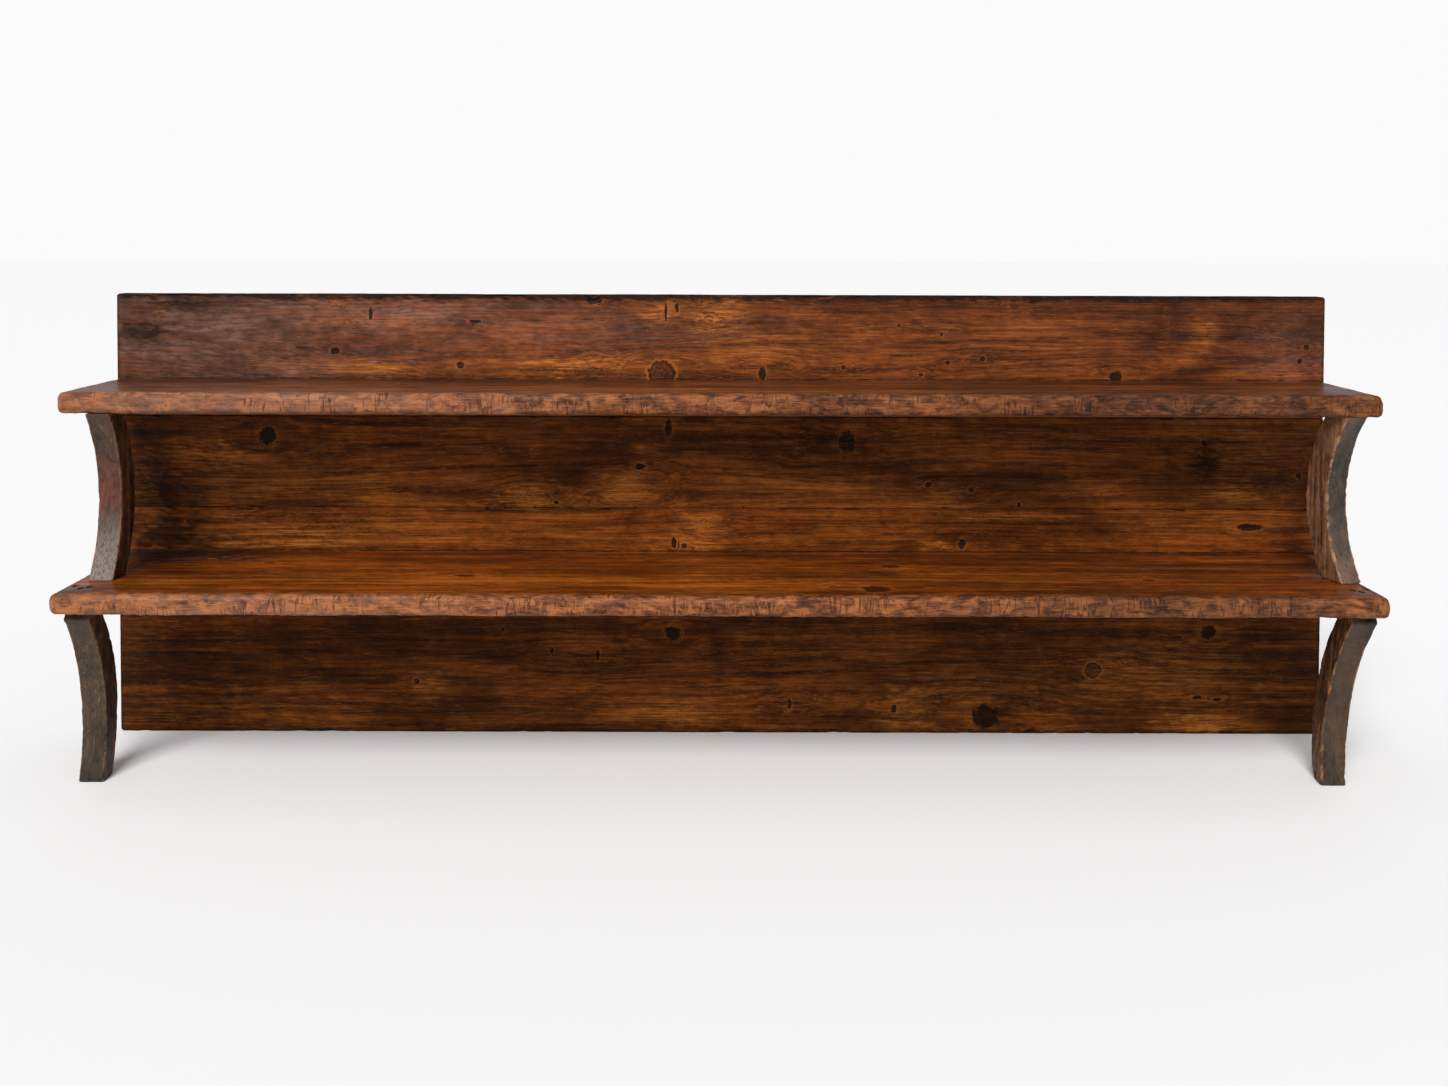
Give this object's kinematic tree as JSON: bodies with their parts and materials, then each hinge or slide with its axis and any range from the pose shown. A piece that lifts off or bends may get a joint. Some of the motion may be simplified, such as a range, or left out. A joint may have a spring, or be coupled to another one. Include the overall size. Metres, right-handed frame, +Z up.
{
  "type": "church pew",
  "caption": "Long rustic church pew of dark stained pine: tall plank back, deep seat plank on curved front legs and a narrower ledge plank above it on curved brackets.",
  "frame": {"origin": "on the floor, at the middle of the pew's length and of its front-to-back depth", "axes": "+X to the right along the pew as seen from the front, +Y from the front toward the back, +Z up; the pew faces -Y"},
  "size_m": [2.835, 0.4494, 1.035],
  "materials": {
    "back_pine": "old dark brown stain under worn wax, orange-brown grain showing through",
    "seat_pine": "polished by use, warm orange-brown with a soft gloss",
    "ledge_pine": "waxed brown top, mottled and scarred reddish nosing",
    "painted_pine": "thin grey-brown paint worn through to orange-brown wood at the arrises",
    "plain_pine": "unplaned, unfinished and darkened by age",
    "forged_iron": "hand-made iron, dark with dry rust"
  },
  "bodies": {
    "root": {"back_board_bottom": "back_pine", "back_board_lower_middle": "back_pine", "back_board_upper_middle": "back_pine", "back_board_top": "back_pine", "seat_plank": "seat_pine", "ledge_plank": "ledge_pine", "left_front_leg": "painted_pine", "right_front_leg": "painted_pine", "left_ledge_bracket": "painted_pine", "right_ledge_bracket": "painted_pine", "seat_ledger": "plain_pine", "ledge_ledger": "plain_pine", "rear_batten_left": "plain_pine", "rear_batten_middle": "plain_pine", "rear_batten_right": "plain_pine", "batten_nails": "forged_iron", "seat_row_nails": "forged_iron", "ledge_row_nails": "forged_iron", "seat_ledger_nails": "forged_iron", "ledge_ledger_nails": "forged_iron", "leg_nails": "forged_iron"}
  },
  "joints": []
}
